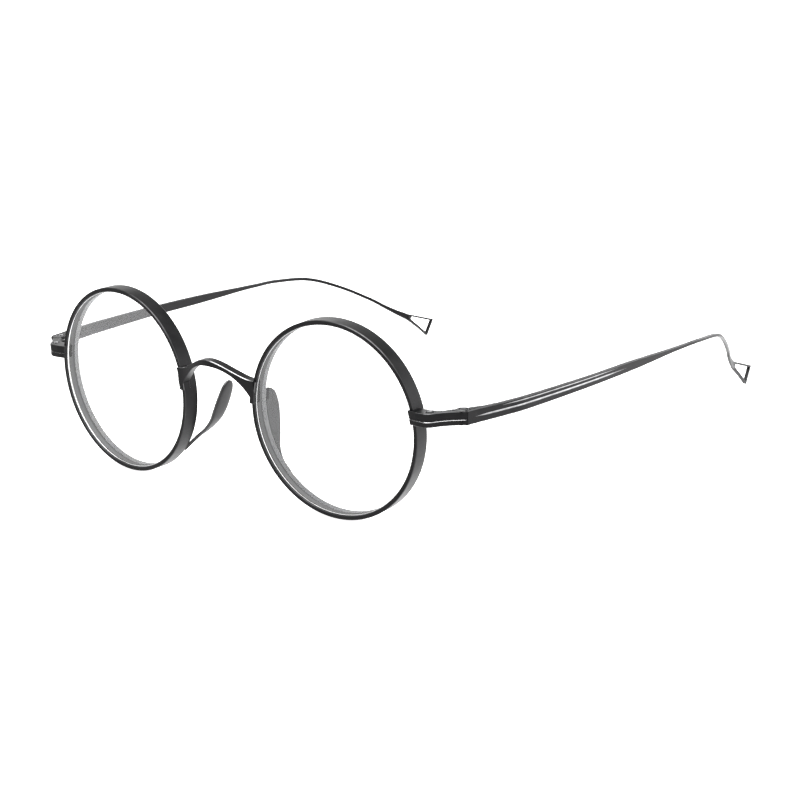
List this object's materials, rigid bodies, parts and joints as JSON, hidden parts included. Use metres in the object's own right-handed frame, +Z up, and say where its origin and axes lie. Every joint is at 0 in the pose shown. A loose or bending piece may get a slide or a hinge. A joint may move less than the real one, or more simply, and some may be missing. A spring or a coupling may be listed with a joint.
{
  "type": "round wire eyeglasses",
  "caption": "Full-rim round metal eyeglasses with an arched bridge, fixed metal nose pads and slim folding temples that end in an open loop.",
  "frame": {"origin": "on the floor under the middle of the object's box, with the open eyeglasses standing on both rims and both temple tips", "axes": "+X towards the wearer's left, +Y from the front back along the temples, +Z up"},
  "size_m": [0.1412, 0.1538, 0.0452],
  "materials": {
    "titanium": "matte gunmetal black titanium, bright on worn edges",
    "screw": "dark plated steel with a driver slot",
    "washer": "plain off-white acetal",
    "lens": "clear coated lens"
  },
  "bodies": {
    "front": {"left_rim": "titanium", "right_rim": "titanium", "left_lens": "lens", "right_lens": "lens", "bridge": "titanium", "left_nose_pad": "titanium", "right_nose_pad": "titanium", "left_upper_end_piece": "titanium", "right_upper_end_piece": "titanium", "left_lower_end_piece": "titanium", "right_lower_end_piece": "titanium", "left_rim_screw": "screw", "right_rim_screw": "screw", "left_hinge_screw": "screw", "right_hinge_screw": "screw", "left_upper_washer": "washer", "right_upper_washer": "washer", "left_lower_washer": "washer", "right_lower_washer": "washer"},
    "left_temple": {"left_temple_hinge": "titanium", "left_temple": "titanium"},
    "right_temple": {"right_temple_hinge": "titanium", "right_temple": "titanium"}
  },
  "joints": [
    {"name": "left_fold", "type": "hinge", "parent": "front", "child": "left_temple", "pos_m": [0.0633, -0.0649, 0.02674], "axis": [0, 0.0142, 0.9999], "range_deg": [0, 89]},
    {"name": "right_fold", "type": "hinge", "parent": "front", "child": "right_temple", "pos_m": [-0.0633, -0.0649, 0.02674], "axis": [0, -0.0142, -0.9999], "range_deg": [0, 85.5]}
  ]
}
